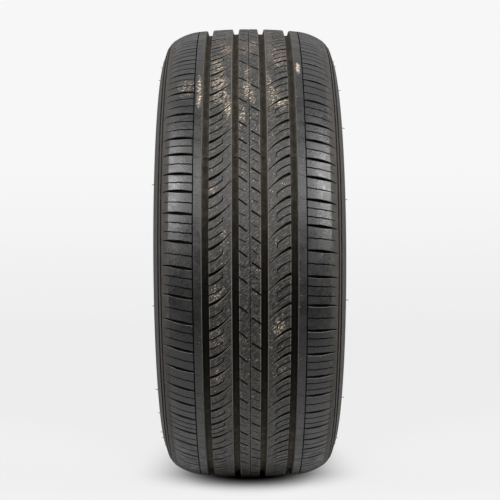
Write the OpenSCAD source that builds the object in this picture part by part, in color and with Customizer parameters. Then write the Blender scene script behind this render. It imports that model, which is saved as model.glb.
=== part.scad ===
// Car tyre, standing upright on its tread. The spin axis is Y, the wheel centre is the origin, Z is up.
// The tread half towards -Y is called left, the half towards +Y right, as seen from +X.

/* [Tyre size] */
// Overall diameter over the tread
overall_d = 677.8; // [670:0.2:684]
// Width over the two sidewalls at their widest
section_w = 245; // [240:1:250]
// Width between the two tread edges
tread_w = 212; // [208:1:214]
// Bore of the two bead seats
bead_d = 461.2; // [459:0.2:464]
// Distance between the outer faces of the two beads
bead_spread = 203.2; // [198:0.2:208]

/* [Tread shape] */
// Radius of the crown across the tread
crown_r = 720; // [500:10:1000]
// Radius across each shoulder, outside the thin groove
shoulder_r = 80; // [74:1:110]
// Rubber and belts under the tread surface at the centre
tread_t = 15.6; // [14:0.2:18]
// Rubber at the widest place of the sidewall
side_t = 9; // [7:0.5:11]
// Length of the flat spot that the tyre stands on
flat_l = 32; // [20:1:40]

/* [Grooves round the tyre] */
// Width of the four main grooves
main_w = 9.1; // [7:0.1:10]
// Depth of the four main grooves
main_depth = 7.4; // [6:0.1:8]
// Distance of the two inner main grooves from the middle
inner_at = 18; // [17:0.1:19]
// Distance of the two outer main grooves from the middle
outer_at = 55.6; // [54:0.1:57]
// Distance of the thin groove in each shoulder from the middle
thin_at = 71.3; // [69:0.1:73]
// Width of the thin groove in each shoulder
thin_w = 1.6; // [1.2:0.1:2.2]
// Depth of the thin groove in each shoulder
thin_depth = 4; // [2:0.1:5]
// Width of the line round the middle rib
centre_w = 1; // [0.6:0.1:1.6]
// Chamfer along the edges of the main grooves
edge = 0.7; // [0.3:0.1:1]

/* [Grooves across the tread] */
// Width of the wide groove in each shoulder pitch
cross_w = 3; // [2.4:0.1:3.6]
// Depth of the wide groove in each shoulder pitch
cross_depth = 6; // [4:0.1:6.6]
// Width of a sipe
sipe_w = 0.9; // [0.7:0.1:1.2]
// Depth of a sipe
sipe_depth = 4.5; // [3:0.1:5.5]
// Lean of the left shoulder grooves, falling to the right
left_lean = 8; // [4:0.5:10]
// Lean of the right shoulder grooves, falling to the right
right_lean = 5; // [3:0.5:8]

/* [Hidden] */
$fn = 180;

// Each pitch of the tread: its length along the tread in mm, and how many sipes it holds.
left_pitches = [[35, 2], [35.5, 2], [35.5, 2], [39, 2], [39, 2], [38.5, 2], [24, 1], [27.5, 1],
                [23.5, 1], [29, 1], [36.5, 2], [32.5, 1], [37.5, 2], [33.5, 1], [38, 2], [29, 1],
                [30, 1], [26, 1], [26.5, 1], [30, 2], [30, 1], [33.5, 1]];
right_pitches = [[36.5, 2], [35, 2], [39.5, 2], [40, 2], [39, 2], [26, 1], [27, 1], [25, 1],
                 [30, 1], [33, 2], [31.5, 1], [32.5, 1], [37, 2], [33.5, 1], [33, 2], [34, 2],
                 [30.5, 2], [30.5, 1], [32, 2], [26.5, 1], [25.5, 1], [31, 2]];
// The order of the pitches comes three times round the tyre.
repeats = 3;
left_start = 63.6;
right_start = 62.1;

r_out = overall_d/2;
r_bead = bead_d/2;
half_w = section_w/2;
half_tread = tread_w/2;
half_bead = bead_spread/2;
over = 3;
groove_draft = 1.1;
rib_left = [-outer_at + main_w/2, -inner_at - main_w/2];
rib_right = [outer_at - main_w/2, inner_at + main_w/2];

// Where the shoulder arc takes over from the crown arc, in one tangent
shoulder_turn = asin(thin_at/crown_r);
shoulder_centre = [r_out - crown_r + (crown_r - shoulder_r)*cos(shoulder_turn),
                   (crown_r - shoulder_r)*sin(shoulder_turn)];

// Radius of the tread surface at a distance y from the middle
function skin(y) =
    abs(y) <= thin_at
        ? r_out - crown_r + sqrt(crown_r^2 - y^2)
        : shoulder_centre[0] + sqrt(shoulder_r^2 - (abs(y) - shoulder_centre[1])^2);

// Points of a curve from a to c, pulled towards b
function bend(a, b, c, n) = [for (i = [0:n]) let (t = i/n) a*(1 - t)^2 + b*2*t*(1 - t) + c*t^2];

// A stretch of the tread surface between two places
function rib(from, to, n) = [for (i = [0:n]) let (y = from + (to - from)*i/n) [skin(y), y]];

// One main groove: chamfered edges, leaning walls, a floor with cut corners
function main_groove(y) = let (h = main_w/2, r = skin(y)) [
    [r - edge, y - h],
    [r - main_depth + 1, y - h + groove_draft],
    [r - main_depth, y - h + groove_draft + 1],
    [r - main_depth, y + h - groove_draft - 1],
    [r - main_depth + 1, y + h - groove_draft],
    [r - edge, y + h]];

// A plain narrow groove
function slot(y, w, depth) = [[skin(y) - depth, y - w*0.4], [skin(y) - depth, y + w*0.4]];

main_half = main_w/2 + edge;
// The tread surface of the right half, from the middle line to the tread edge
tread_half = concat(
    [[skin(0) - 1.2, centre_w*0.4]],
    rib(centre_w/2, inner_at - main_half, 1),
    main_groove(inner_at),
    rib(inner_at + main_half, outer_at - main_half, 1),
    main_groove(outer_at),
    rib(outer_at + main_half, thin_at - thin_w/2, 1),
    slot(thin_at, thin_w, thin_depth),
    rib(thin_at + thin_w/2, half_tread, 3));

r_edge = skin(half_tread);
// Height of the sidewall from the bead seat to the tread edge. The heights below are shares of it.
side_h = r_edge - r_bead;
function up(share) = r_bead + side_h*share;
r_wide = up(0.548);
// The buttress below the tread edge, with two low ridges round it
flank = half_w - half_tread;
buttress = [
    [up(0.903), half_tread + flank*0.42],
    [up(0.897), half_tread + flank*0.38],
    [up(0.839), half_tread + flank*0.64],
    [up(0.832), half_tread + flank*0.6]];
// Height of the rim flange that the bead wraps, and of the ledge that guards it
r_flange = up(0.188);
r_guard = up(0.269);
guard_out = half_w - 3.4;
side_out = concat(
    bend([up(0.785), half_tread + flank*0.78], [up(0.699), half_w], [r_wide, half_w], 4),
    bend([up(0.537), half_w], [up(0.377), half_w - 1], [up(0.302), guard_out - 1], 4),
    [[r_guard, guard_out + 0.4], [up(0.237), guard_out - 1]],
    bend([up(0.199), half_bead + 6], [up(0.156), half_bead], [up(0.108), half_bead], 4));

heel_r = side_h*0.0646;
seat_w = 12;
seat_in = half_bead - heel_r - seat_w;
toe_in = seat_in - 4;
bead = concat(
    [for (i = [0:4]) let (t = i*90/4)
        [r_bead + heel_r - heel_r*sin(t), half_bead - heel_r + heel_r*cos(t)]],
    [[r_bead, seat_in], [r_bead - 0.7, toe_in], [r_bead + 1.6, toe_in - 1]]);

r_in = r_out - tread_t;
inside = concat(
    bend([up(0.097), toe_in + 3], [up(0.291), half_bead - 5], [r_wide, half_w - side_t], 6),
    bend([up(0.591), half_w - side_t], [r_in - 6, half_w - side_t - 2], [r_in - 8, half_tread - 12], 7),
    bend([r_in - 7, half_tread - 16], [r_in - 1, half_tread/2], [r_in, 0], 3));

right_section = concat(tread_half, buttress, side_out, bead, inside);
left_section = [for (i = [len(right_section) - 2:-1:0]) [right_section[i][0], -right_section[i][1]]];

// The body turned from its section, with the axis brought to Y
module carcass() {
    rotate([-90, 0, 0]) rotate_extrude() polygon(concat(right_section, left_section));
}

function total(list, k) = k <= 0 ? 0 : list[k - 1][0] + total(list, k - 1);
// Angle of a place in pitch k, part of the pitch past its wide groove
function place(list, start, k, part) =
    start - 360/repeats*(total(list, k) + part*list[k][0])/total(list, len(list));

// Puts something on the tread: x points out of the tyre, y across it and z along the tread
module on_tread(angle, along = 0) {
    rotate([0, -angle - along/r_out*180/PI, 0]) children();
}

// A straight cut across the right shoulder, from the thin groove to a place near the tread edge.
// Its floor has the given number of steps and rises a little at the outer end.
module shoulder_cut(w, depth, lean, to, steps) {
    ys = [for (i = [0:steps]) thin_at + (to - thin_at)*i/steps];
    floor = [for (i = [steps:-1:0]) [skin(ys[i]) - depth*(i == steps ? 0.6 : 1), ys[i]]];
    translate([0, thin_at, 0]) rotate([-lean, 0, 0]) translate([0, -thin_at, -w/2])
        linear_extrude(w) polygon(concat([[r_out + over, thin_at], [r_out + over, to]], floor));
}

// Outline in plan of a cut along a bend, w0 wide at its start and w1 at its end
function ribbon(a, b, c, w0, w1, n) = let (
    mid = bend(a, b, c, n),
    dir = [for (i = [0:n]) let (t = i/n, d = (b - a)*(1 - t) + (c - b)*t) d/norm(d)],
    half = [for (i = [0:n]) (w0 + (w1 - w0)*i/n)/2])
    concat([for (i = [0:n]) mid[i] + [-dir[i][1], dir[i][0]]*half[i]],
           [for (i = [n:-1:0]) mid[i] - [-dir[i][1], dir[i][0]]*half[i]]);

// Sinks a plan outline into the tread at a place y across it
module sink(outline, y, depth) {
    translate([skin(y) - depth, 0, 0]) rotate([90, 0, 90]) linear_extrude(depth + over) polygon(outline);
}

// Distance along the tread from a wide groove to the cuts of the ribs beside it
left_rib_below = 7.7;
right_rib_above = 3.3;
middle_rib_below = 14.7;
curve_w = 2.8;
curve_depth = main_depth - 1.9;
middle_cut_w = 1.3;
middle_drop = 8.5;
middle_depth = sipe_depth - 0.5;

module left_half_cuts(k) {
    sipes = left_pitches[k][1];
    rib_mid = (rib_left[0] + rib_left[1])/2;
    on_tread(place(left_pitches, left_start, k, 0)) mirror([0, 1, 0])
        shoulder_cut(cross_w, cross_depth, -left_lean, half_tread + 3, 2);
    for (j = [1:sipes]) on_tread(place(left_pitches, left_start, k, j/(sipes + 1))) mirror([0, 1, 0])
        shoulder_cut(sipe_w, sipe_depth, -left_lean, half_tread - 1, 1);
    on_tread(place(left_pitches, left_start, k, 0), -left_rib_below)
        sink(ribbon([rib_left[0] - 1, 0], [rib_mid - 0.7, 4.5], [rib_left[1] - 1, 21],
                    curve_w, sipe_w, 3), rib_mid, curve_depth);
}

module right_half_cuts(k) {
    sipes = right_pitches[k][1];
    rib_mid = (rib_right[0] + rib_right[1])/2;
    middle = inner_at - main_w/2;
    on_tread(place(right_pitches, right_start, k, 0))
        shoulder_cut(cross_w, cross_depth, right_lean, half_tread + 3, 2);
    for (j = [1:sipes]) on_tread(place(right_pitches, right_start, k, j/(sipes + 1)))
        shoulder_cut(sipe_w, sipe_depth, right_lean, half_tread - 1, 1);
    on_tread(place(right_pitches, right_start, k, 0), right_rib_above)
        sink(ribbon([rib_right[0] + 1, 0], [rib_mid + 0.7, -7.5], [rib_right[1] + 1, -24],
                    curve_w, sipe_w, 3), rib_mid, curve_depth);
    on_tread(place(right_pitches, right_start, k, 0))
        sink(ribbon([-middle - 0.4, 0], [-middle*0.6, -4.5], [-middle*0.23, -middle_drop],
                    middle_cut_w, middle_cut_w, 1), -middle*0.6, middle_depth);
    on_tread(place(right_pitches, right_start, k, 0), -middle_rib_below)
        sink(ribbon([middle*0.15, 0], [middle*0.52, -3.5], [middle + 0.4, -middle_drop],
                    middle_cut_w, middle_cut_w, 1), middle*0.6, middle_depth);
}

module tyre() {
    color([0.2, 0.2, 0.21]) difference() {
        carcass();
        for (turn = [0:repeats - 1]) rotate([0, turn*360/repeats, 0]) {
            for (k = [0:len(left_pitches) - 1]) left_half_cuts(k);
            for (k = [0:len(right_pitches) - 1]) right_half_cuts(k);
        }
        translate([-r_out, -r_out, -2*r_out - sqrt(r_out^2 - flat_l^2/4)]) cube(2*r_out);
    }
}

tyre();
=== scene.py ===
import math
import random
from collections import namedtuple
from itertools import accumulate

import bpy
from mathutils import Matrix, Vector
from mathutils.geometry import delaunay_2d_cdt


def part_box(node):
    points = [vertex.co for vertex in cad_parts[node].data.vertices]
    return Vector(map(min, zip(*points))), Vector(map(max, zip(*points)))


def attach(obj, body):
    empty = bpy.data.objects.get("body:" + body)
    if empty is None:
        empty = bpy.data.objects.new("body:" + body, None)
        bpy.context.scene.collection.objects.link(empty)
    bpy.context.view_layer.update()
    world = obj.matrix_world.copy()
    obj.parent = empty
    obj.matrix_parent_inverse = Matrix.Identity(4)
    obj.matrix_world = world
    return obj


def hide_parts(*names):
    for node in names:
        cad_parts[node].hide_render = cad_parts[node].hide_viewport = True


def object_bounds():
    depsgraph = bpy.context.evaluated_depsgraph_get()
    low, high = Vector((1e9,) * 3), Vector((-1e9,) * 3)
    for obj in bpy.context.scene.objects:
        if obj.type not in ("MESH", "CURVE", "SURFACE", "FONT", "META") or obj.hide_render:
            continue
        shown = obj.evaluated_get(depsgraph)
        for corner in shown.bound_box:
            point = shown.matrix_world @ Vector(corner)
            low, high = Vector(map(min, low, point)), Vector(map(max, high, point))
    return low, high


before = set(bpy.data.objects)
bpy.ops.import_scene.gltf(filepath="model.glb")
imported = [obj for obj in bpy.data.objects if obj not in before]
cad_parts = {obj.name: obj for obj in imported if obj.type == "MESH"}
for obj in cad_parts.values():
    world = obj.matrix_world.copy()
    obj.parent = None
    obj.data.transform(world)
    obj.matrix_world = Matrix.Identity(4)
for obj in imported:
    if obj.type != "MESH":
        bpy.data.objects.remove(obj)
cadLow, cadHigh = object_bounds()
tyreLow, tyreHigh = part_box("tyre")
mm = 0.001
print("frame loaded")

# The tyre's section. Lengths are in millimetres, as they are on a tyre drawing.
tyreShape = {
    "outerRadius": tyreHigh[2]/mm,
    "restHeight": -tyreLow[2]/mm,  # from the wheel centre down to the flat spot
    "halfWidth": (tyreHigh[1] - tyreLow[1])/2/mm + 1.2,  # the sidewalls bulge a little past the solid's
    "widestAt": 0.47,  # share of the height above the bead
    "halfTread": 110,  # out to the corner of the shoulder blocks
    "crownRadius": 720,
    "shoulderRadius": 80,
    "beadRadius": 230.6,
    "halfBead": 101.6,
    "beadWidth": 22,
    "heel": 6,  # radius of the bead's outer corner
    "treadThickness": 15.6,
    "sideThickness": 9,
    "repeats": 3,  # the order of the pitches comes this many times round
    "facets": 78,  # along the tread in each repeat
    "shoulderSteps": 17,
    "ribRows": (29.5, 36.5, 43.5),  # rows of loose points keep the wide ribs round here
    "clear": 0.9,  # they stay this far from the cuts
    "sharpFrom": 20,  # degrees
}

# The grooves that run round the tyre
ringGrooves = {
    "mainWidth": 9.1,
    "mainDepth": 7.4,
    "innerAt": 18,
    "outerAt": 55.6,
    "edge": 0.9,  # chamfer along the main grooves
    "draft": 1.1,  # how far each wall leans in
    "thinAt": 71.3,
    "thinWidth": 1.5,
    "thinDepth": 4,
    "centreWidth": 0.9,
    "centreDepth": 1.2,
    "barDepth": 5.9,  # depth left over the wear bars
    "barLength": 6,
    "barAngles": [22, -7.5],
}

# The cuts across the tread. Each pitch is its length along the tread and its number of sipes, and each
# place in a rib is (across, along) from the start of its pitch.
crossCuts = {
    "leftStart": 63.6,  # angle of the first pitch, in degrees up from the photo's middle
    "rightStart": 62.1,
    "leftPitches": [(35, 2), (35.5, 2), (35.5, 2), (39, 2), (39, 2), (38.5, 2), (24, 1), (27.5, 1),
                    (23.5, 1), (29, 1), (36.5, 2), (32.5, 1), (37.5, 2), (33.5, 1), (38, 2), (29, 1),
                    (30, 1), (26, 1), (26.5, 1), (30, 2), (30, 1), (33.5, 1)],
    "rightPitches": [(36.5, 2), (35, 2), (39.5, 2), (40, 2), (39, 2), (26, 1), (27, 1), (25, 1),
                     (30, 1), (33, 2), (31.5, 1), (32.5, 1), (37, 2), (33.5, 1), (33, 2), (34, 2),
                     (30.5, 2), (30.5, 1), (32, 2), (26.5, 1), (25.5, 1), (31, 2)],
    "leftLean": 8,  # degrees, falling to the right
    "rightLean": 5,
    "wideWidths": [2.7, 3.1, 3.6, 4, 4.1, 4, 3.6, 3, 2.3, 1.6, 1],  # from the thin groove outwards
    "wideHook": [0.5, 1.4],  # how far the last two points turn down
    "wideDepth": 6,
    "wideRises": (100, 0.7),  # from here out it loses this share of its depth
    "wideEdge": 0.5,
    "sipeWidth": 1.65,
    "sipeDepth": 4,
    "sipesReach": 107,
    "sipeWave": [0, 0.25, -0.2, 0.25, -0.15, 0, -0.7],
    "ribWidths": [4, 4, 3.8, 3.3, 2.5, 1.7, 1.3, 1],
    "ribEdge": 0.45,
    "ribGroove": [(-51.6, -0.3), (-38, 4.5), (-23.2, 21.5)],
    "ribSipe": [(-51.4, 0), (-43, 2.5), (-34.2, 10.6)],
    "ribHook": [(-33.9, 10.2), (-33.9, 16.6)],
    "hookDepth": 2.5,
    "ribTail": [(-34.2, 10.6), (-29.8, 15.8)],
    "tailDepth": 0.7,
    "leftRibShift": -7.7,  # along the tread, from the shoulder's pitch to the rib's
    "rightRibShift": 3.3,
    # the middle rib's cuts: width, depth, fall along the tread, and from where to where in each row
    "middleDeep": (2.2, 3.5, 8.3, (-13.9, -3.2), (2.0, 13.9)),
    "middleFine": (1.2, 1.6, 4.6, (-13.9, -4.2), (3.6, 10.8)),
    "middleStep": 14.7,  # how far the right row lies below the left one
    "leftNotch": (3, 5),  # how far the two ends of a notch fall
    "rightNotch": (1, -4),
    "notchWidth": 0.7,
    "notchDepth": 0.6,
}

# The thin rubber whiskers that the mould's vents leave on the shoulders
ventWhiskers = {
    "length": 3.6,
    "lengths": (0.75, 1.1),  # shares of it
    "thickness": 1.1,
    "tip": 0.55,  # share of the thickness
    "root": 0.4,  # how deep they start in the rubber
    "lift": (0.1, 0.5),  # how far they lean away from the axis
    "sway": 0.25,
    "scatter": (-0.3, 0.3),  # share of the gap between two
    "facing": 0.13,  # they grow where the sidewall turns this far from the camera, and stand out from it
    "count": 44,  # on each side
    "leftAngles": [55.7, 17.8, -13.1, -38.4, -48, -59.6],
    "rightAngles": [49.8, 34.6, 13.7, -11.8, -41.7],
    "clearOf": 62,  # the scattered ones stay away from the angles that face the camera
    "clearOfFoot": 8,
    "seed": 12,
}


def bendPoints(a, b, c, steps):
    # points of a curve from a to c, pulled towards b
    points = []
    for i in range(steps + 1):
        t = i/steps
        points.append(tuple(p*(1 - t)**2 + 2*q*t*(1 - t) + r*t*t for p, q, r in zip(a, b, c)))
    return points


def treadRadius(y):
    # radius of the tread at y from the middle: a flat crown that turns down at the thin groove
    shape, turnAt = tyreShape, ringGrooves["thinAt"]
    centre = shape["outerRadius"] - shape["crownRadius"]
    if abs(y) <= turnAt:
        return centre + math.sqrt(shape["crownRadius"]**2 - y*y)
    turn = math.asin(turnAt/shape["crownRadius"])
    reach = shape["crownRadius"] - shape["shoulderRadius"]
    side = abs(y) - reach*math.sin(turn)
    return centre + reach*math.cos(turn) + math.sqrt(shape["shoulderRadius"]**2 - side*side)


def rightSection():
    # (radius, distance from the middle) from the crown over the sidewall and bead to the inside middle
    shape, thin = tyreShape, ringGrooves["thinAt"]
    bead, half, at, heel = shape["beadRadius"], shape["halfWidth"], shape["halfTread"], shape["heel"]
    halfBead, steps = shape["halfBead"], shape["shoulderSteps"]
    places = [*range(0, 71, 7)] + [thin + i*(at - thin)/steps for i in range(steps + 1)]
    tread = [(treadRadius(y), y) for y in places]
    edge = treadRadius(at)
    wide = bead + (shape["outerRadius"] - bead)*shape["widestAt"]
    # below the shoulder blocks: two narrow grooves and a low ridge round the buttress
    buttress = [(edge - down, at + out) for down, out in (
        (1.6, 1), (4.2, 1.1), (4.4, 2.2), (2.7, 2.6), (5.6, 4.6), (9.2, 4.9), (9.4, 6.1), (7.6, 6.4),
        (11, 7.8), (14.5, 9))]
    upperSide = bendPoints((edge - 20, at + 10.6), (wide + 16, half), (wide, half), 8)
    # the ridge that guards the rim's flange, the flange's seat, the heel and the toe
    guard, flange = bead + 25, bead + 17.5
    lowerSide = bendPoints((wide - 2, half), (guard + 10, half - 1), (guard + 3, half - 4.4), 7)
    lowerSide += [(guard + 1.2, half - 3.4), (guard, half - 3), (guard - 1.5, half - 3.2),
                  (guard - 3, half - 4.4)]
    foot = bendPoints((flange + 1, halfBead + 6), (flange - 3, halfBead), (bead + 10, halfBead), 6)
    turns = [t*math.pi/12 for t in range(7)]
    beadPart = [(bead + heel - heel*math.sin(t), halfBead - heel + heel*math.cos(t)) for t in turns]
    toe = halfBead - shape["beadWidth"]
    beadPart += [(bead, toe + 4), (bead - 0.7, toe), (bead - 0.2, toe - 0.8), (bead + 1.6, toe - 1)]
    inner = shape["outerRadius"] - shape["treadThickness"]
    side = half - shape["sideThickness"]
    inside = bendPoints((bead + 9, toe + 3), (guard + 2, halfBead - 5), (wide, side), 8)
    inside += bendPoints((wide + 4, side), (inner - 6, side - 2), (inner - 8, at - 12), 10)
    inside += bendPoints((inner - 7, at - 16), (inner - 1, at/2), (inner, 0), 6)
    return tread + buttress + upperSide + lowerSide + foot + beadPart + inside


# the right half's points, and how far each lies along the section from the crown
sectionPoints = rightSection()
sectionLengths = [0.0, *accumulate(map(math.dist, sectionPoints, sectionPoints[1:]))]
shoulderRow = 12  # first section point past the thin groove
sheetRows = 29  # section points that the tread sheet reaches over, one past the tread's edge
sheetHalf = sectionLengths[sheetRows]
thirdLength = 2*math.pi*tyreShape["outerRadius"]/tyreShape["repeats"]
columns = tyreShape["facets"]
columnStep = thirdLength/columns


def alongSection(y):
    # distance along the section from the crown to a place y from the middle
    for i in range(sheetRows):
        low, high = sectionPoints[i][1], sectionPoints[i + 1][1]
        if low <= abs(y) <= high:
            share = (abs(y) - low)/(high - low)
            return math.copysign(sectionLengths[i] + share*(sectionLengths[i + 1] - sectionLengths[i]), y)
    return math.copysign(sheetHalf, y)


# A cut is an outline on the unrolled tread, its points (along, across) in mm, with a depth at each point.
# A wear bar's depth is the most that the cuts under it get.
Cut = namedtuple("Cut", "outline depthAt isBar", defaults=[False])


def steady(depth):
    return lambda point: depth


def edgeDistance(point, outline):
    best = 1e9
    for a, b in zip(outline, outline[1:] + outline[:1]):
        dx, dy = b[0] - a[0], b[1] - a[1]
        size = dx*dx + dy*dy
        t = 0 if size == 0 else max(0, min(1, ((point[0] - a[0])*dx + (point[1] - a[1])*dy)/size))
        best = min(best, math.hypot(point[0] - a[0] - t*dx, point[1] - a[1] - t*dy))
    return best


def ribbonOutline(line, widths, grow=0.0):
    # outline of a cut along a line, with its own width at each point, grown all round for a chamfer
    left, right = [], []
    count = len(line)
    for i, (x, y) in enumerate(line):
        before, after = line[max(i - 1, 0)], line[min(i + 1, count - 1)]
        dx, dy = after[0] - before[0], after[1] - before[1]
        size = math.hypot(dx, dy)
        dx, dy = dx/size, dy/size
        push = -grow if i == 0 else grow if i == count - 1 else 0
        half = widths[i]/2 + grow
        left.append((x + dx*push - dy*half, y + dy*push + dx*half))
        right.append((x + dx*push + dy*half, y + dy*push - dx*half))
    return left + right[::-1]


def lineCut(line, widths, depth):
    return Cut(ribbonOutline(line, widths), steady(depth))


def chamferedCut(line, widths, edge, depthAt):
    # a cut and the chamfer round it
    inside = ribbonOutline(line, widths)

    def edgeDepth(point):
        return max(0.0, edge - edgeDistance(point, inside))

    return [Cut(ribbonOutline(line, widths, edge), edgeDepth), Cut(inside, depthAt)]


def strip(start, end, low, high):
    return [(start, low), (end, low), (end, high), (start, high)]


def ringCuts():
    # the main grooves as strips whose depth follows their own profile, then the thin grooves
    rings, cuts, lines = ringGrooves, [], []
    half, lean = rings["mainWidth"]/2, rings["draft"]
    wallTop, bar, deep = rings["edge"], rings["barDepth"], rings["mainDepth"]
    barLean = lean*(bar - wallTop)/(deep - 1 - wallTop)
    # from the rubber's surface down to the floor of the groove, whose corners slope over 1 mm
    profile = [(-half - wallTop, 0), (-half, wallTop), (-half + barLean, bar), (-half + lean, deep - 1),
               (-half + lean + 1, deep)]
    profile += [(-y, depth) for y, depth in reversed(profile)]
    for middle in (-rings["outerAt"], -rings["innerAt"], rings["innerAt"], rings["outerAt"]):
        places = [(alongSection(middle + y), depth) for y, depth in profile]

        def depthAt(point, places=places):
            y = point[1]
            for (y0, d0), (y1, d1) in zip(places, places[1:]):
                if y0 <= y <= y1:
                    return d0 + (d1 - d0)*(y - y0)/(y1 - y0)
            return 0.0

        low, high = places[0][0], places[-1][0]
        cuts.append(Cut(strip(0, thirdLength, low, high), depthAt))
        lines += [y for y, depth in places]
        for angle in rings["barAngles"]:
            x = math.radians(angle % 120)*tyreShape["outerRadius"]
            long = rings["barLength"]/2
            cuts.append(Cut(strip(x - long, x + long, low, high), steady(bar), isBar=True))
    for side, kind in ((-1, "thin"), (1, "thin"), (0, "centre")):
        middle, half = side*rings["thinAt"], rings[kind + "Width"]/2
        low, high = alongSection(middle - half), alongSection(middle + half)
        cuts.append(Cut(strip(0, thirdLength, low, high), steady(rings[kind + "Depth"])))
        lines += [low, high]
    return cuts, lines


def pitchPlaces(pitches, start):
    # for each pitch: where its wide groove lies along the tread, and where its sipes lie
    scale = thirdLength/sum(length for length, sipes in pitches)
    x = math.radians(start)*tyreShape["outerRadius"]
    places = []
    for length, sipes in pitches:
        step = length*scale
        places.append((x, [x - step*(j + 1)/(sipes + 1) for j in range(sipes)]))
        x -= step
    return places


def acrossLine(x, fromY, toY, lean, steps):
    # a line across the tread that falls to the right, as (along, across) points
    slope = math.tan(math.radians(lean))
    ys = [fromY + (toY - fromY)*i/steps for i in range(steps + 1)]
    return [(x - slope*(y - fromY), alongSection(y)) for y in ys]


def shoulderCuts(x, sipes, side, lean):
    # the wide groove of one pitch in a shoulder, and its sipes
    cross = crossCuts
    inner, outer = side*ringGrooves["thinAt"], side*(tyreShape["halfTread"] + 0.3)
    widths, hook = cross["wideWidths"], cross["wideHook"]
    line = acrossLine(x, inner, outer, lean, len(widths) - 1)
    line[-2:] = [(px - down, py) for down, (px, py) in zip(hook, line[-2:])]
    risesAt, share = cross["wideRises"]
    run = [alongSection(side*risesAt), alongSection(outer)]

    def depthAt(point):
        way = (point[1] - run[0])/(run[1] - run[0])
        return cross["wideDepth"]*(1 - share*max(0, min(1, way)))

    cuts = chamferedCut(line, widths, cross["wideEdge"], depthAt)
    width, wave = cross["sipeWidth"], cross["sipeWave"]
    for place in sipes:
        line = acrossLine(place, inner, side*cross["sipesReach"], lean, len(wave) - 1)
        line = [(px + up, py) for up, (px, py) in zip(wave, line)]
        cuts.append(lineCut(line, [width]*5 + [width*0.8, width*0.5], cross["sipeDepth"]))
    return cuts


def ribCuts(x, sipes, mirror, shift):
    # the curved groove and hooked sipes of one pitch in the rib between two main grooves
    cross, thin = crossCuts, crossCuts["sipeWidth"]

    def ribLine(start, points):
        return [(start + shift + up*mirror, alongSection(y*mirror)) for y, up in points]

    widths = cross["ribWidths"]
    cuts = chamferedCut(ribLine(x, bendPoints(*cross["ribGroove"], len(widths) - 1)), widths,
                        cross["ribEdge"], steady(ringGrooves["barDepth"]))
    for number, place in enumerate(sipes):
        cuts.append(lineCut(ribLine(place, bendPoints(*cross["ribSipe"], 4)), [thin]*5, cross["sipeDepth"]))
        if number == 0:
            cuts.append(lineCut(ribLine(place, cross["ribHook"]), [thin*0.8, thin*0.6], cross["hookDepth"]))
        cuts.append(lineCut(ribLine(place, cross["ribTail"]), [thin*0.6, thin*0.35], cross["tailDepth"]))
    return cuts


def middleCuts(x, nextX):
    # the short falling cuts of one pitch in the middle rib: a deep one and a fine one in each row
    cuts = []
    for kind, place in (("middleDeep", x), ("middleFine", (x + nextX)/2 - 1)):
        width, depth, fall, *rows = crossCuts[kind]
        for start, (fromY, toY) in zip((place, place - crossCuts["middleStep"]), rows):
            line = [(start, alongSection(fromY)), (start - fall, alongSection(toY))]
            cuts.append(lineCut(line, [width]*2, depth))
    return cuts


def notchCut(x, side, falls):
    # the shallow line that carries a shoulder groove on over the narrow rib
    rings = ringGrooves
    line = [(x - falls[0], alongSection(side*rings["thinAt"])),
            (x - falls[1], alongSection(side*(rings["outerAt"] + rings["mainWidth"]/2 + 0.4)))]
    return lineCut(line, [crossCuts["notchWidth"]]*2, crossCuts["notchDepth"])


def treadCuts():
    cross = crossCuts
    cuts, lines = ringCuts()
    loose = []
    for side, name in ((-1, "left"), (1, "right")):
        places = pitchPlaces(cross[name + "Pitches"], cross[name + "Start"])
        following = [x for x, sipes in places[1:]] + [places[0][0] - thirdLength]
        for (x, sipes), nextX in zip(places, following):
            loose += shoulderCuts(x, sipes, side, cross[name + "Lean"])
            loose.append(notchCut(x, side, cross[name + "Notch"]))
            loose += ribCuts(x, sipes, -side, cross[name + "RibShift"])
            if side > 0:
                loose += middleCuts(x, nextX)
    # cuts that reach past an end of the sheet come in at the other one too
    for cut in loose:
        for turn in range(-2, 3):
            shift = turn*thirdLength
            low = min(x for x, y in cut.outline) + shift
            high = max(x for x, y in cut.outline) + shift
            if high < 0 or low > thirdLength:
                continue

            def depthAt(point, cut=cut, shift=shift):
                return cut.depthAt((point[0] - shift, point[1]))

            cuts.append(Cut([(x + shift, y) for x, y in cut.outline], depthAt))
    return cuts, lines


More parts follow.
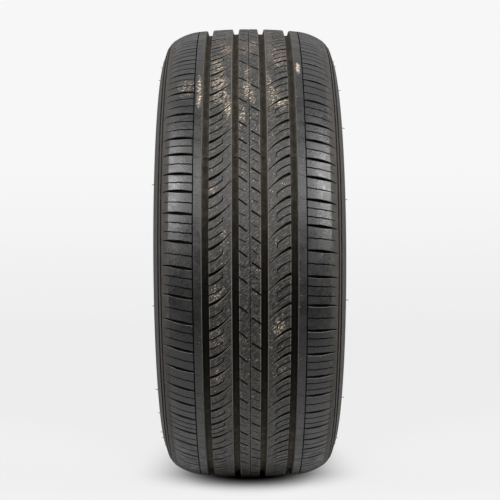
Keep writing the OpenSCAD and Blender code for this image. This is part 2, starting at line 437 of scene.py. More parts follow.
def treadSheet():
    # one third of the tread, unrolled: vertices (along, across, -depth) in mm, and faces
    cuts, lines = treadCuts()
    points, faces = [], []

    def addFace(outline):
        # an outline has to run anticlockwise to count as a face
        area = sum(a[0]*b[1] - b[0]*a[1] for a, b in zip(outline, outline[1:] + outline[:1]))
        first = len(points)
        points.extend(Vector(p) for p in (outline if area > 0 else outline[::-1]))
        faces.append(list(range(first, first + len(outline))))

    domain = [(i*columnStep, -sheetHalf) for i in range(columns + 1)]
    domain += [((columns - i)*columnStep, sheetHalf) for i in range(columns + 1)]
    addFace(domain)
    for cut in cuts:
        addFace(cut.outline)
    edges = []
    for y in lines:
        first = len(points)
        points.extend(Vector((i*columnStep, y)) for i in range(columns + 1))
        edges.extend((first + i, first + i + 1) for i in range(columns))
    shoulderRows = [s*y for s in (-1, 1) for y in sectionLengths[shoulderRow:sheetRows]]
    ribRows = [s*y for s in (-1, 1) for y in tyreShape["ribRows"]]
    boxes = []
    for cut in cuts:
        xs, ys = zip(*cut.outline)
        boxes.append((min(xs) - 1, max(xs) + 1, min(ys) - 1, max(ys) + 1, cut.outline))
    for y in shoulderRows + ribRows:
        near = [b for b in boxes if b[2] <= y <= b[3]]
        for i in range(columns + 1):
            x = i*columnStep
            close = any(b[0] <= x <= b[1] and edgeDistance((x, y), b[4]) < tyreShape["clear"] for b in near)
            if not close or i in (0, columns):
                points.append(Vector((x, y)))
    print("tread layout:", len(cuts), "cuts,", len(points), "points")
    layout = delaunay_2d_cdt(points, edges, faces, 0, 1e-5, True)
    places, triangles, owners = layout[0], layout[2], layout[5]
    depths, levels, made, edgeSides = {}, {}, {}, {}
    vertices, polygons = [], []

    def depthOf(vertex, own):
        # the deepest of the cuts that a triangle lies in, held up by a wear bar
        key = (vertex, tuple(own))
        if key not in depths:
            point = tuple(places[vertex])
            inCuts = [cuts[o - 1] for o in own if o]
            depth = max([cut.depthAt(point) for cut in inCuts if not cut.isBar], default=0.0)
            limit = min([cut.depthAt(point) for cut in inCuts if cut.isBar], default=99)
            depths[key] = round(min(depth, limit), 4)
        return depths[key]

    def vertexAt(index, depth):
        if (index, depth) not in made:
            made[(index, depth)] = len(vertices)
            vertices.append((places[index].x, places[index].y, -depth))
        return made[(index, depth)]

    for tri, own in zip(triangles, owners):
        if 0 not in own:
            continue
        heights = [depthOf(v, own) for v in tri]
        polygons.append([vertexAt(v, d) for v, d in zip(tri, heights)])
        for v, d in zip(tri, heights):
            levels.setdefault(v, set()).add(d)
        for i in range(3):
            a, b = tri[i], tri[(i + 1) % 3]
            side = (a, b, heights[i], heights[(i + 1) % 3])
            edgeSides.setdefault((min(a, b), max(a, b)), []).append(side)
    for sides in edgeSides.values():
        if len(sides) != 2:
            continue
        a, b, aDepth, bDepth = sides[0]
        otherA, otherB = sides[1][3], sides[1][2]
        if aDepth == otherA and bDepth == otherB:
            continue
        # the wall runs down from one side's edge to the other's, through every level met on the way
        chainA = sorted(d for d in levels[a] if min(aDepth, otherA) <= d <= max(aDepth, otherA))
        chainB = sorted(d for d in levels[b] if min(bDepth, otherB) <= d <= max(bDepth, otherB))
        if aDepth > otherA or bDepth > otherB:
            ring = [(b, d) for d in reversed(chainB)] + [(a, d) for d in chainA]
        else:
            ring = [(b, d) for d in chainB] + [(a, d) for d in reversed(chainA)]
        wall = list(dict.fromkeys(vertexAt(v, d) for v, d in ring))
        if len(wall) > 2:
            polygons.append(wall)
    return vertices, polygons


def flatSkin():
    # the tread sheet with plain strips for the sidewalls, beads and inside, all unrolled flat
    vertices, polygons = treadSheet()
    for side in (-1, 1):
        rows = [side*length for length in sectionLengths[sheetRows:]]
        first = len(vertices)
        vertices += [(i*columnStep, y, 0.0) for y in rows for i in range(columns + 1)]
        for j in range(len(rows) - 1):
            for i in range(columns):
                a = first + j*(columns + 1) + i
                quad = [a, a + 1, a + columns + 2, a + columns + 1]
                polygons.append(quad if side > 0 else quad[::-1])
    mesh = bpy.data.meshes.new("flatSkin")
    mesh.from_pydata([(x*mm, y*mm, z*mm) for x, y, z in vertices], [], polygons)
    depths = [-z for x, y, z in vertices]
    mesh.attributes.new("cutDepth", "FLOAT", "POINT").data.foreach_set("value", depths)
    return mesh


def newObject(name, data):
    obj = bpy.data.objects.new(name, data)
    bpy.context.scene.collection.objects.link(obj)
    return obj


def sectionCurve():
    points = [(r, -y) for r, y in reversed(sectionPoints[1:])] + sectionPoints
    data = bpy.data.curves.new("sectionLine", "CURVE")
    data.dimensions = "3D"
    spline = data.splines.new("POLY")
    spline.points.add(len(points) - 1)
    for point, (r, y) in zip(spline.points, points):
        point.co = (r*mm, y*mm, 0, 1)
    return newObject("sectionLine", data)


# Small helpers for building node trees

def addNode(kind, inputs, tree=None, **settings):
    # makes a node in the tree that its linked inputs belong to, and gives its outputs
    linked = {key: value for key, value in inputs.items() if isinstance(value, bpy.types.NodeSocket)}
    tree = tree or next(iter(linked.values())).id_data
    node = tree.nodes.new(kind)
    for name, value in settings.items():
        setattr(node, name, value)
    for key, value in inputs.items():
        if key in linked:
            tree.links.new(value, node.inputs[key])
        else:
            node.inputs[key].default_value = value
    return node.outputs


def sourceNode(tree, kind, **settings):
    return addNode(kind, {}, tree, **settings)


def mathNode(operation, *values):
    return addNode("ShaderNodeMath", dict(enumerate(values)), operation=operation)[0]


def times(first, *others):
    for value in others:
        first = mathNode("MULTIPLY", first, value)
    return first


def largest(first, *others):
    for value in others:
        first = mathNode("MAXIMUM", first, value)
    return first


def minus(first, second):
    return mathNode("SUBTRACT", first, second)


def apart(first, second):
    return mathNode("ABSOLUTE", minus(first, second))


def scaled(value, factor, offset):
    return mathNode("MULTIPLY_ADD", value, factor, offset)


def distance(x, y):
    return mathNode("SQRT", scaled(x, x, times(y, y)))


def splitPlace(place):
    return addNode("ShaderNodeSeparateXYZ", {0: place})


def joinPlace(x, y, z=0.0):
    return addNode("ShaderNodeCombineXYZ", {0: x, 1: y, 2: z})[0]


def ramp(value, low, high, toLow=0.0, toHigh=1.0):
    # a smooth step from one value to another
    return addNode("ShaderNodeMapRange", {0: value, 1: low, 2: high, 3: toLow, 4: toHigh},
                   interpolation_type="SMOOTHSTEP")[0]


def mixColour(factor, first, second):
    return addNode("ShaderNodeMix", {0: factor, 6: first, 7: second}, data_type="RGBA")[2]


def mixValue(factor, first, second):
    return addNode("ShaderNodeMix", {0: factor, 2: first, 3: second}, data_type="FLOAT")[0]


def noise(place, scale, detail, roughness=0.55):
    return addNode("ShaderNodeTexNoise", {"Vector": place, "Scale": scale, "Detail": detail,
                                          "Roughness": roughness})[0]


def streaks(place, size, angle):
    # stretches a pattern along a slant
    turn = (0, 0, math.radians(angle))
    return addNode("ShaderNodeMapping", {"Vector": place, "Scale": size, "Rotation": turn},
                   vector_type="TEXTURE")[0]


def attribute(tree, name, kind="FLOAT"):
    return addNode("GeometryNodeInputNamedAttribute", {"Name": name}, tree, data_type=kind)[0]


def addInput(tree, name, kind, value=None):
    socket = tree.interface.new_socket(name, in_out="INPUT", socket_type="NodeSocket" + kind)
    if value is not None:
        socket.default_value = value


def closeTree(tree, results):
    # gives the tree an output for each result, and links it
    for name, value in results.items():
        kind = {"VECTOR": "Vector", "GEOMETRY": "Geometry"}.get(value.type, "Float")
        tree.interface.new_socket(name, in_out="OUTPUT", socket_type="NodeSocket" + kind)
    out = tree.nodes.new("NodeGroupOutput").inputs
    for name, value in results.items():
        tree.links.new(value, out[name])
    return tree


def rollSkin(tree, inn):
    # bends the flat skin along the section line and round the wheel, and closes it with its copies
    section = addNode("GeometryNodeObjectInfo", {"Object": inn["Section Line"]})["Geometry"]
    along, across, lift = splitPlace(sourceNode(tree, "GeometryNodeInputPosition")[0])
    length = mathNode("ADD", across, inn["Half Section Length"])
    sample = addNode("GeometryNodeSampleCurve", {"Curves": section, "Length": length},
                     mode="LENGTH", use_all_curves=False)
    place, tangent = splitPlace(sample["Position"]), splitPlace(sample["Tangent"])
    rise = scaled(tangent["Y"], lift, place["X"])
    side = minus(place["Y"], times(tangent["X"], lift))
    angle = mathNode("DIVIDE", along, inn["Outer Radius"])
    rolled = joinPlace(times(rise, mathNode("COSINE", angle)), side,
                       times(rise, mathNode("SINE", angle)))
    bent = addNode("GeometryNodeSetPosition", {"Geometry": inn["Flat Skin"], "Position": rolled})[0]
    spots = addNode("GeometryNodeMeshLine", {"Count": inn["Repeats"], "Offset": (0, 0, 0)})[0]
    number = sourceNode(tree, "GeometryNodeInputIndex")[0]
    turn = mathNode("DIVIDE", times(number, -math.tau), inn["Repeats"])
    copies = addNode("GeometryNodeInstanceOnPoints", {
        "Points": spots, "Instance": bent, "Rotation": joinPlace(0.0, turn)})[0]
    whole = addNode("GeometryNodeRealizeInstances", {"Geometry": copies})[0]
    return addNode("GeometryNodeMergeByDistance", {"Geometry": whole, "Distance": 4e-6})[0]


def growWhiskers(tree, inn):
    # one thin cone on each whisker point, leaning the way that the point's attribute says
    points = addNode("GeometryNodeObjectInfo", {"Object": inn["Whisker Points"]})["Geometry"]
    thick = inn["Whisker Radius"]
    cone = addNode("GeometryNodeMeshCone", {
        "Vertices": 6, "Radius Top": times(thick, ventWhiskers["tip"]), "Radius Bottom": thick,
        "Depth": 1.0})["Mesh"]
    turn = addNode("FunctionNodeAlignRotationToVector",
                   {"Vector": attribute(tree, "lean", "FLOAT_VECTOR")}, axis="Z")[0]
    copies = addNode("GeometryNodeInstanceOnPoints", {
        "Points": points, "Instance": cone, "Rotation": turn,
        "Scale": joinPlace(1.0, 1.0, attribute(tree, "whiskerLength"))})[0]
    return addNode("GeometryNodeRealizeInstances", {"Geometry": copies})[0]


def tyreTree():
    # rolls the flat skin round the wheel, adds the whiskers, squashes the flat spot and sets the materials
    tree = bpy.data.node_groups.new("rollTyre", "GeometryNodeTree")
    shape, rings = tyreShape, ringGrooves
    for name, kind, value in (
            ("Flat Skin", "Geometry", None), ("Section Line", "Object", None),
            ("Half Section Length", "Float", sectionLengths[-1]*mm),
            ("Outer Radius", "Float", shape["outerRadius"]*mm), ("Repeats", "Int", shape["repeats"]),
            ("Rest Height", "Float", shape["restHeight"]*mm), ("Whisker Points", "Object", None),
            ("Whisker Radius", "Float", ventWhiskers["thickness"]/2*mm),
            ("Shoulder Rubber", "Material", None), ("Rib Rubber", "Material", None),
            ("Rib Rubber Within", "Float", rings["outerAt"]*mm),
            ("Groove Rubber", "Material", None), ("Groove Rubber From", "Float", rings["edge"] + 0.05)):
        addInput(tree, name, kind, value)
    inn = sourceNode(tree, "NodeGroupInput")
    both = tree.nodes.new("GeometryNodeJoinGeometry")
    for part in (growWhiskers(tree, inn), rollSkin(tree, inn)):
        tree.links.new(part, both.inputs[0])
    x, y, z = splitPlace(sourceNode(tree, "GeometryNodeInputPosition")[0])
    lifted = joinPlace(x, y, largest(z, times(inn["Rest Height"], -1.0)))
    stood = addNode("GeometryNodeSetPosition", {"Geometry": both.outputs[0], "Position": lifted})[0]
    shown = addNode("GeometryNodeRealizeInstances", {"Geometry": stood})[0]
    inside = mathNode("LESS_THAN", mathNode("ABSOLUTE", y), inn["Rib Rubber Within"])
    deep = mathNode("GREATER_THAN", attribute(tree, "cutDepth"), inn["Groove Rubber From"])
    for rubber, chosen in (("Shoulder Rubber", True), ("Rib Rubber", inside), ("Groove Rubber", deep)):
        shown = addNode("GeometryNodeSetMaterial", {"Geometry": shown, "Selection": chosen,
                                                    "Material": inn[rubber]})[0]
    return closeTree(tree, {"Geometry": shown})


def bakeNodes(obj, tree, values):
    # runs a geometry node tree on an object and keeps the result as a plain mesh
    modifier = obj.modifiers.new(tree.name, "NODES")
    modifier.node_group = tree
    for socket in tree.interface.items_tree:
        if socket.name in values:
            modifier[socket.identifier] = values[socket.name]
    bpy.context.view_layer.update()
    evaluated = obj.evaluated_get(bpy.context.evaluated_depsgraph_get())
    mesh = bpy.data.meshes.new_from_object(evaluated)
    obj.modifiers.clear()
    obj.data = mesh


def outward(row):
    # which way the section faces at one of its points, as (away from the axis, away from the middle)
    (r0, y0), (r1, y1) = sectionPoints[row - 1], sectionPoints[row + 1]
    long = math.hypot(r1 - r0, y1 - y0)
    return (y1 - y0)/long, (r0 - r1)/long


def whiskerPoints():
    # points on both shoulders: those seen at the photo's outline, then scattered ones
    whiskers = ventWhiskers
    pick = random.Random(whiskers["seed"])
    pastButtress = sheetRows + 12
    row = next(i for i in range(pastButtress, len(sectionPoints)) if outward(i)[0] < whiskers["facing"])
    outR, outY = outward(row)
    r, y = sectionPoints[row]
    r, y = r - whiskers["root"]*outR, y - whiskers["root"]*outY
    places = [(-1, a) for a in whiskers["leftAngles"]] + [(1, a) for a in whiskers["rightAngles"]]
    clear = whiskers["clearOf"]
    for side in (-1, 1):
        for i in range(whiskers["count"]):
            angle = 360*(i + pick.uniform(*whiskers["scatter"]))/whiskers["count"]
            if clear < angle < 360 - clear and abs(angle - 270) > whiskers["clearOfFoot"]:
                places.append((side, angle))
    points, leans, lengths = [], [], []
    for side, degrees in places:
        angle = math.radians(degrees)
        points.append((r*math.cos(angle)*mm, side*y*mm, r*math.sin(angle)*mm))
        push = pick.uniform(*whiskers["lift"])
        sway = pick.uniform(-whiskers["sway"], whiskers["sway"])
        lean = Vector((math.cos(angle)*outR*push, side, math.sin(angle)*outR*push + sway))
        leans.append(lean.normalized())
        lengths.append(whiskers["length"]*pick.uniform(*whiskers["lengths"])*mm)
    mesh = bpy.data.meshes.new("whiskerPoints")
    mesh.from_pydata(points, [], [])
    leanData = mesh.attributes.new("lean", "FLOAT_VECTOR", "POINT").data
    leanData.foreach_set("vector", [value for lean in leans for value in lean])
    mesh.attributes.new("whiskerLength", "FLOAT", "POINT").data.foreach_set("value", lengths)
    return newObject("whiskerPoints", mesh)


# The rubber of the ribs in the middle, scratched and speckled by grit
ribLook = {
    "rubber": (0.006, 0.006, 0.006, 1),
    "scuffed": (0.018, 0.0174, 0.0152, 1),
    "scratched": (0.128, 0.119, 0.100, 1),
    "scratches": 0.6,  # how strongly they show
    "shine": 0.33,  # roughness where the rubber is smoothest
    "dull": 0.50,
    "relief": 0.8,  # how strong its grain is
    "specular": 0.34,
    "edges": 0.7,  # how far the road has rubbed its edges pale
    "lowDull": 0.15,  # what it has more in roughness low down
}

# The rubber of the narrow ribs and shoulders, which is polished
shoulderLook = {
    "rubber": (0.0055, 0.0055, 0.006, 1),
    "scuffed": (0.018, 0.0175, 0.016, 1),
    "scratched": (0.060, 0.056, 0.050, 1),
    "scratches": 0.15,
    "shine": 0.21,
    "dull": 0.42,
    "relief": 0.6,
    "specular": 0.42,
    "edges": 0.35,
    "lowDull": 0.2,
}

# What they share, and the dirt. Angles are degrees up from the side that faces the photo's camera. A pair
# of numbers is where an effect starts and is full, and a pattern is its scale, detail and roughness.
rubberLook = {
    "edgeWear": (0.23, 0.195, 0.165, 1),
    "edgeDepth": (0.02, 0.25),  # in mm below the tread
    "unworn": (0.012, 0.011, 0.0095, 1),  # the matt rubber past the worn shoulder, and inside
    "unwornDust": (0.078, 0.065, 0.052, 1),
    "film": (0.115, 0.10, 0.08, 1),
    "pinkFilm": (0.13, 0.105, 0.09, 1),
    "filmCover": 0.6,
    "mud": (0.42, 0.35, 0.27, 1),
    "pinkClay": (0.28, 0.21, 0.17, 1),
    "mudCover": 0.9,
    "speckCover": 0.75,
    "clayAngles": (47, 54),
    "wearEnds": (103.4, 104.8),  # how far from the middle the road has polished the shoulders
    "wearRagged": 4.0,
    "lowWear": 9.5,  # how much further out the wear reaches low down
    "lowAngles": (-28, -52),
    "dullAngles": (-35, -50),
    "topAngles": (40, 60),
    "topRoughness": 0.2,  # what the dusty top has more
    "slant": (0.78, 0.95),  # seen at such a slant, the rubber doesn't mirror the softboxes
    "matt": 0.8,
    "muddy": 0.9,
    "bump": 0.8,
    "bumpHeight": 0.0006,
    "smudgePattern": (0.06, 6.0, 0.68),
    "smudges": (0.36, 0.66),
    "scratchStretch": (6.5, 1.7, 1),
    "scratchAngle": 48,
    "scratchPattern": (1.0, 4.0, 0.65),
    "scratches": (0.47, 0.72),
    "grainPattern": (0.5, 5.0, 0.75),
    "speckles": (0.42, 0.66),
    "dustPattern": (0.11, 6.0, 0.7),
    "dust": (0.42, 0.70),
    "patchyDust": 0.6,
    "evenDust": (0.2, 0.07),  # a share of a pattern, and what is the same everywhere
    "smudgeShare": (0.6, 0.4),
    "rubbedGrain": (0.9, 0.1),
}

# The rubber in the cuts, darker than the ribs' to paint the shade in them, with pale dust that also paints
# them lighter towards the top and bottom of the wheel
grooveLook = {
    "rubber": (0.004, 0.0041, 0.003, 1),
    "dust": (0.063, 0.056, 0.045, 1),
    "specular": 0.10,
    "darkestAngle": -15,  # where the grooves are darkest, in painted shade
    "dustAndLightAngles": (4, 34),  # away from there the dust paints them lighter
    "leastDustAndLight": 0.04,
    "dustShare": (0.6, 0.4),
    "crossDust": 0.12,  # share of the dust that lies in the cuts across
}

# Dried mud: angle, place across in mm, half its height in degrees, half its width in mm, how thick
mudPatches = [
    (47.5, 65.5, 2.3, 2.8, 1.3), (40, -65.5, 5, 3.4, 1.05), (36.5, -65, 2.4, 3.2, 1.15),
    (41, -82, 3.2, 11, 0.85), (59, -38, 2.6, 9, 0.85), (55.5, -31, 3.2, 9, 0.95), (49.5, -43, 2.4, 8, 1),
    (46.5, -40, 2.6, 8, 1), (41.5, -38, 2.6, 11, 1.04), (37.5, -37, 2.8, 11, 1), (33.5, -27, 3, 5, 1.1),
    (59, 6, 1.8, 6, 1.05), (56, 0, 3.6, 12, 0.85), (45.5, -2, 2.2, 5, 0.95), (39.5, -3, 3.2, 6, 1.04),
    (37, 4, 2.2, 5, 1), (31.5, -9, 2.6, 4, 1), (54.5, 37, 5, 14, 0.88), (49.5, 40, 2.4, 7, 0.96),
    (42, 25.5, 3, 4, 1), (37.5, 31, 3.4, 9, 0.95), (35, 42, 2, 6, 1.1), (13.5, -45, 1.6, 6, 0.9),
    (4, -32, 1.6, 5, 0.8), (-9, -42, 2, 7, 0.9), (-16, 36, 2, 8, 1.05), (-18, -41, 2.6, 9, 0.8),
    (-27, -40, 2.6, 8, 0.9), (-26, 40, 2.4, 9, 0.78), (-38, -36, 2.4, 9, 0.7), (-57, 42, 3, 9, 0.75),
    (13, 106, 3.4, 2.4, 0.62), (-1.5, 106, 2.2, 2.2, 0.66), (-9, 106, 1.6, 2.2, 0.6),
]

mudLook = {
    "reach": 2.9,  # a patch ends at the square root of this, in its half sizes
    "breakStretch": (4.4, 2.0, 1),
    "breakAngle": 50,
    "breakPattern": (1.0, 4.5, 0.72),
    "thickness": 0.22,
    "film": (0.62, 0.82),
    "mud": (0.745, 0.785),
    "speckScale": 0.34,
    "specks": (0.30, 0.12),
    "crowdPattern": (0.022, 2.0),
    "crowds": (0.40, 0.62, 0.97, 0.84),  # where the specks crowd, fewer of them are left out
    "speckAcross": (70, 55),
}


def openGroup(name, inputs):
    tree = bpy.data.node_groups.new(name, "ShaderNodeTree")
    for label, kind in inputs.items():
        addInput(tree, label, kind)
    return tree, sourceNode(tree, "NodeGroupInput")


def placeGroup():
    # turns a place on the tyre into its angle round the wheel and its distance across, in mm
    tree, inn = openGroup("tyrePlace", {"Place": "Vector"})
    big = addNode("ShaderNodeVectorMath", {0: inn[0], 3: 1/mm}, operation="SCALE")[0]
    x, y, z = splitPlace(big)
    turn = mathNode("ARCTAN2", z, x)
    liner = tyreShape["outerRadius"] - tyreShape["treadThickness"]
    return closeTree(tree, {
        "Angle": mathNode("DEGREES", turn), "Across": y,
        "Unrolled": joinPlace(times(turn, tyreShape["outerRadius"]), y),
        "Millimetres": big, "Inside": ramp(distance(x, z), liner + 2, liner + 1)})


def mudGroup():
    # how thick the dried mud lies: patches broken up by noise, and small specks
    look = mudLook
    tree, inn = openGroup("driedMud", {"Angle": "Float", "Across": "Float", "Unrolled": "Vector",
                                       "Millimetres": "Vector"})
    cover = 0.0
    for angle, across, high, wide, thick in mudPatches:
        up = mathNode("DIVIDE", minus(inn["Angle"], angle), high)
        over = mathNode("DIVIDE", minus(inn["Across"], across), wide)
        far = mathNode("ADD", times(up, up), times(over, over))
        cover = largest(cover, ramp(far, look["reach"], 0.0, 0.0, thick))
    slanted = streaks(inn["Unrolled"], look["breakStretch"], look["breakAngle"])
    broken = scaled(cover, look["thickness"], noise(slanted, *look["breakPattern"]))
    cells = addNode("ShaderNodeTexVoronoi", {"Vector": inn["Millimetres"], "Scale": look["speckScale"]})
    chosen = addNode("ShaderNodeSeparateColor", {0: cells["Color"]})[0]
    level = ramp(noise(inn["Millimetres"], *look["crowdPattern"]), *look["crowds"])
    specks = times(ramp(cells["Distance"], *look["specks"]),
                   mathNode("GREATER_THAN", chosen, level),
                   ramp(mathNode("ABSOLUTE", inn["Across"]), *look["speckAcross"]))
    return closeTree(tree, {"Film": ramp(broken, *look["film"]), "Mud": ramp(broken, *look["mud"]),
                            "Specks": specks})


def scuffGroup():
    # uneven wear of the rubber: broad smudges, slanting scratches and a pebbled grain
    look = rubberLook
    tree, inn = openGroup("wornRubber", {"Millimetres": "Vector", "Unrolled": "Vector"})
    place = inn["Millimetres"]
    slanted = streaks(inn["Unrolled"], look["scratchStretch"], look["scratchAngle"])
    return closeTree(tree, {
        "Smudge": ramp(noise(place, *look["smudgePattern"]), *look["smudges"]),
        "Scratch": ramp(noise(slanted, *look["scratchPattern"]), *look["scratches"]),
        "Grain": noise(place, *look["grainPattern"]),
        "Dust": ramp(noise(place, *look["dustPattern"]), *look["dust"])})


def useGroup(tree, group, source):
    # places a group, links each of its inputs to the source of that name, and gives its outputs
    node = tree.nodes.new("ShaderNodeGroup")
    node.node_tree = group
    for socket in node.inputs:
        tree.links.new(source[socket.name], socket)
    return node.outputs


def newMaterial(name, values):
    # a material with the values that are the same all over it
    material = bpy.data.materials.new(name)
    material.use_nodes = True
    shader = material.node_tree.nodes["Principled BSDF"].inputs
    for socket, value in values.items():
        shader[socket].default_value = value
    return material, material.node_tree, shader


def wornRubber(name, own, places, scuffs, dirt):
    # rubber that the road has worn, with edge wear and dirt, matt where the road doesn't reach
    look = rubberLook
    material, tree, shader = newMaterial(name, {"Specular IOR Level": own["specular"]})
    spot = useGroup(tree, places, {"Place": sourceNode(tree, "ShaderNodeTexCoord")["Object"]})
    mud, worn = useGroup(tree, dirt, spot), useGroup(tree, scuffs, spot)
    angle, inside = spot["Angle"], spot["Inside"]
    depth = sourceNode(tree, "ShaderNodeAttribute", attribute_name="cutDepth")["Fac"]
    edge = ramp(depth, *look["edgeDepth"])
    # the border of the wear is ragged
    farOut = scaled(worn["Grain"], look["wearRagged"], mathNode("ABSOLUTE", spot["Across"]))
    farOut = minus(farOut, ramp(angle, *look["lowAngles"], 0.0, look["lowWear"]))
    unworn = largest(inside, ramp(farOut, *look["wearEnds"]))
    scuff = times(scaled(worn["Smudge"], *look["smudgeShare"]), ramp(worn["Grain"], *look["speckles"]))
    colour = mixColour(scuff, own["rubber"], own["scuffed"])
    scratches = times(worn["Scratch"], own["scratches"])
    colour = mixColour(scratches, colour, own["scratched"])
    # the inside is evenly dusty, the sidewalls and unworn shoulders patchily
    dust = worn["Dust"]
    dust = mixValue(inside, times(dust, look["patchyDust"]), scaled(dust, *look["evenDust"]))
    colour = mixColour(unworn, colour, mixColour(dust, look["unworn"], look["unwornDust"]))
    rubbed = times(edge, scaled(worn["Grain"], *look["rubbedGrain"]), own["edges"])
    colour = mixColour(rubbed, colour, look["edgeWear"])
    # mud and grit lie on top of the tread, and not on its edges, the sidewalls or the inside
    onTop = times(minus(1.0, edge), minus(1.0, inside))
    mudOn, specksOn = times(mud["Mud"], onTop), times(mud["Specks"], onTop)
    filmOn = times(mud["Film"], onTop, look["filmCover"])
    clay = ramp(angle, *look["clayAngles"])
    colour = mixColour(filmOn, colour, mixColour(clay, look["film"], look["pinkFilm"]))
    colour = mixColour(times(mudOn, look["mudCover"]), colour,
                       mixColour(clay, look["mud"], look["pinkClay"]))
    colour = mixColour(times(specksOn, look["speckCover"]), colour, look["mud"])
    tree.links.new(colour, shader["Base Color"])
    rough = mixValue(largest(worn["Smudge"], scratches), own["shine"], own["dull"])
    for angles, more in ((look["topAngles"], look["topRoughness"]), (look["dullAngles"], own["lowDull"])):
        rough = mathNode("ADD", rough, ramp(angle, *angles, 0.0, more))
    slant = ramp(sourceNode(tree, "ShaderNodeLayerWeight")["Facing"], *look["slant"])
    rough = mixValue(largest(unworn, edge, slant), rough, look["matt"])
    rough = mixValue(largest(filmOn, mudOn, specksOn), rough, look["muddy"])
    tree.links.new(rough, shader["Roughness"])
    height = scaled(worn["Scratch"], own["scratches"], mudOn)
    height = scaled(worn["Grain"], own["relief"], height)
    bump = addNode("ShaderNodeBump", {"Height": height, "Strength": look["bump"],
                                      "Distance": look["bumpHeight"]})[0]
    tree.links.new(bump, shader["Normal"])
    return material


def grooveRubberWithPaintedShade(places, scuffs):
    # the moulded rubber inside the cuts, which the road never polishes, kept dark to paint the shade in the
    # cuts, with dust that also paints them lighter towards the top and bottom of the wheel
    look, rings = grooveLook, ringGrooves
    material, tree, shader = newMaterial("grooveRubberWithPaintedShade", {"Specular IOR Level": look["specular"],
                                                          "Roughness": rubberLook["matt"]})
    spot = useGroup(tree, places, {"Place": sourceNode(tree, "ShaderNodeTexCoord")["Object"]})
    worn = useGroup(tree, scuffs, spot)
    # painted light: the dust's share grows with the distance from the darkest angle
    away = apart(spot["Angle"], look["darkestAngle"])
    # the dust lies in the main grooves and hardly at all in the cuts across
    farOut = mathNode("ABSOLUTE", spot["Across"])
    off = mathNode("MINIMUM", apart(farOut, rings["innerAt"]), apart(farOut, rings["outerAt"]))
    half = rings["mainWidth"]/2
    dustAndPaintedLight = times(ramp(away, *look["dustAndLightAngles"], look["leastDustAndLight"], 1.0),
                  scaled(worn["Dust"], *look["dustShare"]),
                  ramp(off, half + 0.4, half - 0.2, look["crossDust"], 1.0))
    tree.links.new(mixColour(dustAndPaintedLight, look["rubber"], look["dust"]), shader["Base Color"])
    return material


def makeTyre():
    section, whiskers = sectionCurve(), whiskerPoints()
    places, scuffs, dirt = placeGroup(), scuffGroup(), mudGroup()
    tyre = newObject("tyreBody", flatSkin())
    bakeNodes(tyre, tyreTree(), {
        "Section Line": section, "Whisker Points": whiskers,
        "Shoulder Rubber": wornRubber("shoulderRubber", shoulderLook, places, scuffs, dirt),
        "Rib Rubber": wornRubber("ribRubber", ribLook, places, scuffs, dirt),
        "Groove Rubber": grooveRubberWithPaintedShade(places, scuffs)})
    for helper in (section, whiskers):
        bpy.data.objects.remove(helper)
    mesh = tyre.data
    for empty in [i for i, material in enumerate(mesh.materials) if material is None][::-1]:
        mesh.materials.pop(index=empty)
    mesh.shade_smooth()
    mesh.set_sharp_from_angle(angle=math.radians(tyreShape["sharpFrom"]))
    print("tyre:", len(mesh.polygons), "faces,", len(mesh.materials), "materials")
    return tyre


tyre = makeTyre()
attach(tyre, "root")
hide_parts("tyre")

# Camera, floor and light, in metres and degrees. A pair of numbers is where something starts and ends.
studio = {
    "camera": (1.6689, -0.0057, 0.0061),
    "lens": 77.7,
    "tilt": -0.057,
    "turn": 0.248,
    "roll": -0.249,
    "paleWall": (0.93, 0.93, 0.935, 1),
    "lowWall": (0.863, 0.863, 0.868, 1),  # the wall low down, and the far floor that runs into it
    "wallRises": (-0.06, 0.09),  # slopes of the view between which one turns into the other
    "dimRoom": (0.15, 0.15, 0.15, 1),
    "floorSize": 6,
    "floorFades": (0.5, 5.5),
    "floorColour": (0.85, 0.85, 0.85, 1),
    "backShare": 0.3,  # behind the tyre, where its shadow falls, distances count this much
    "shadowReach": (0.05, 0.19),  # the camera sees the lit floor up to here, then the colour of the wall
    "thinFloor": 0.06,  # share of the lit floor that it still sees further out
    "paintedShadowReach": (0.0, 0.15),  # where the shadow painted into the floor's colour under the tyre ends
    # the floor's colour at the foot, in the painted shadow
    "paintedShadowLevel": 0.05,
    "paintedShadowHalfWidth": 0.07,
    "shadeReach": (0.18, 0.42),  # the rubber sees the whole floor up to here, then a thin one
    "thinBounce": 0.28,
    "cardEdge": (0.42, 0.62),  # beyond the photo's edge it sees a dark card
    "paintedShadowUnder": (0.08, 0.19),  # and, under the tyre, a shadow painted in the card's colour
    "paintedShadowUnderNarrow": 1.6,
    "cardAndShadowColour": (0.09, 0.09, 0.09, 1),
    "softboxes": {  # place, target, size and power
        "leftSoftbox": ((1.25, -1.53, 0.96), (0.3, 0, 0), (0.8, 1.26), 55),
        "rightSoftbox": ((1.25, 1.53, 0.96), (0.3, 0, 0), (0.8, 1.26), 61),
        "frontSoftbox": ((1.85, 0, 1.08), (0.3, 0, 0), (1.4, 0.95), 23),
        "topSoftbox": ((0.1, 0, 2.0), (0, 0, 0), (2.4, 2.4), 3),
    },
}


def makeCamera():
    data = bpy.data.cameras.new("camera")
    data.sensor_width = 36
    data.lens = studio["lens"]
    camera = newObject("camera", data)
    pose = Matrix.Translation(studio["camera"])
    for axis, degrees in (("Z", 90 - studio["turn"]), ("X", 90 + studio["tilt"]), ("Z", studio["roll"])):
        pose = pose @ Matrix.Rotation(math.radians(degrees), 4, axis)
    camera.matrix_world = pose
    bpy.context.scene.camera = camera


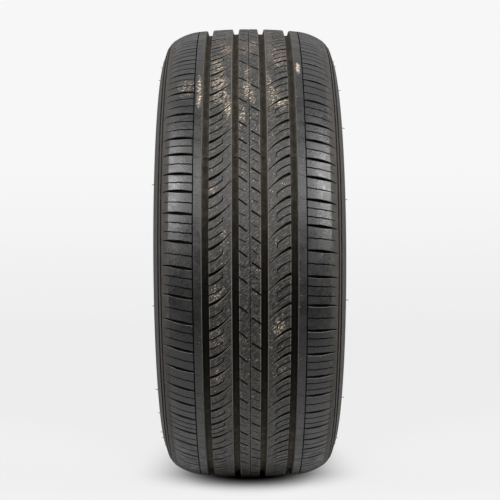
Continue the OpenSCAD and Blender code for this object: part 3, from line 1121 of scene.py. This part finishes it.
def makeFloor():
    # a wide pale floor. The camera sees it run into the wall colour, with the tyre's shadow at the foot,
    # deepened by a shadow painted into the floor's colour
    look, size, z = studio, studio["floorSize"], cadLow[2]
    mesh = bpy.data.meshes.new("floor")
    corners = [(-size, -size, z), (size, -size, z), (size, size, z), (-size, size, z)]
    mesh.from_pydata(corners, [], [(0, 1, 2, 3)])
    floor = newObject("floor", mesh)
    material, tree, shader = newMaterial("paleFloor", {"Roughness": 0.6, "Emission Strength": 1.0,
                                                       "Specular IOR Level": 0.0})
    black = (0, 0, 0, 1)
    place = sourceNode(tree, "ShaderNodeTexCoord")["Object"]
    seen = sourceNode(tree, "ShaderNodeLightPath")["Is Camera Ray"]
    x, y = splitPlace(place)[:2]
    ahead = largest(x, times(x, -look["backShare"]))
    near = distance(ahead, y)
    far = addNode("ShaderNodeVectorMath", {0: place}, operation="LENGTH")["Value"]
    fade = ramp(far, *look["floorFades"], 1.0, 0.0)
    # what the camera sees: the lit floor gives way to a glow in the colour of the wall
    lit = times(fade, ramp(near, *look["shadowReach"], 1.0, look["thinFloor"]))
    # a shadow painted into the floor's colour under the tyre, darkest along the foot
    aside = minus(mathNode("ABSOLUTE", y), look["paintedShadowHalfWidth"])
    fromFoot = distance(ahead, largest(aside, 0.0))
    paintedShadow = ramp(fromFoot, *look["paintedShadowReach"], look["paintedShadowLevel"], 1.0)
    shown = mixColour(times(lit, paintedShadow), black, look["floorColour"])
    glow = mixColour(times(seen, minus(1.0, lit)), black, look["lowWall"])
    # what the rubber sees: a dark card in front, and a shadow painted under the tyre
    below = distance(ahead, times(y, look["paintedShadowUnderNarrow"]))
    cardAndShadow = largest(ramp(x, *look["cardEdge"]), ramp(below, *look["paintedShadowUnder"], 1.0, 0.0))
    thrown = largest(ramp(near, *look["shadeReach"], 1.0, look["thinBounce"]), cardAndShadow)
    met = mixColour(cardAndShadow, look["floorColour"], look["cardAndShadowColour"])
    tree.links.new(mixColour(seen, met, shown), shader["Base Color"])
    tree.links.new(glow, shader["Emission Color"])
    tree.links.new(mixValue(seen, times(thrown, fade), 1.0), shader["Alpha"])
    mesh.materials.append(material)


def makeWorld():
    # the camera and reflections see a pale wall, and the tyre is lit by a dimmer room
    world = bpy.data.worlds.new("studio")
    bpy.context.scene.world = world
    world.use_nodes = True
    tree = world.node_tree
    wall = tree.nodes["Background"]
    way = splitPlace(sourceNode(tree, "ShaderNodeTexCoord")["Generated"])
    rise = ramp(way["Z"], *studio["wallRises"])
    tree.links.new(mixColour(rise, studio["lowWall"], studio["paleWall"]), wall.inputs["Color"])
    room = addNode("ShaderNodeBackground", {"Color": studio["dimRoom"], "Strength": 1.0}, tree)[0]
    path = sourceNode(tree, "ShaderNodeLightPath")
    seen = largest(path["Is Glossy Ray"], path["Is Transmission Ray"], path["Is Camera Ray"])
    mix = addNode("ShaderNodeMixShader", {0: seen, 1: room, 2: wall.outputs[0]})[0]
    tree.links.new(mix, tree.nodes["World Output"].inputs["Surface"])


def softbox(name, place, target, size, power):
    data = bpy.data.lights.new(name, "AREA")
    data.shape = "RECTANGLE"
    data.size, data.size_y = size
    data.energy = power
    light = newObject(name, data)
    light.location = place
    light.rotation_euler = (Vector(target) - Vector(place)).to_track_quat("-Z", "Y").to_euler()


makeCamera()
makeFloor()
makeWorld()
for name, values in studio["softboxes"].items():
    softbox(name, *values)
bpy.context.scene.view_settings.view_transform = "Standard"
print("stage set")
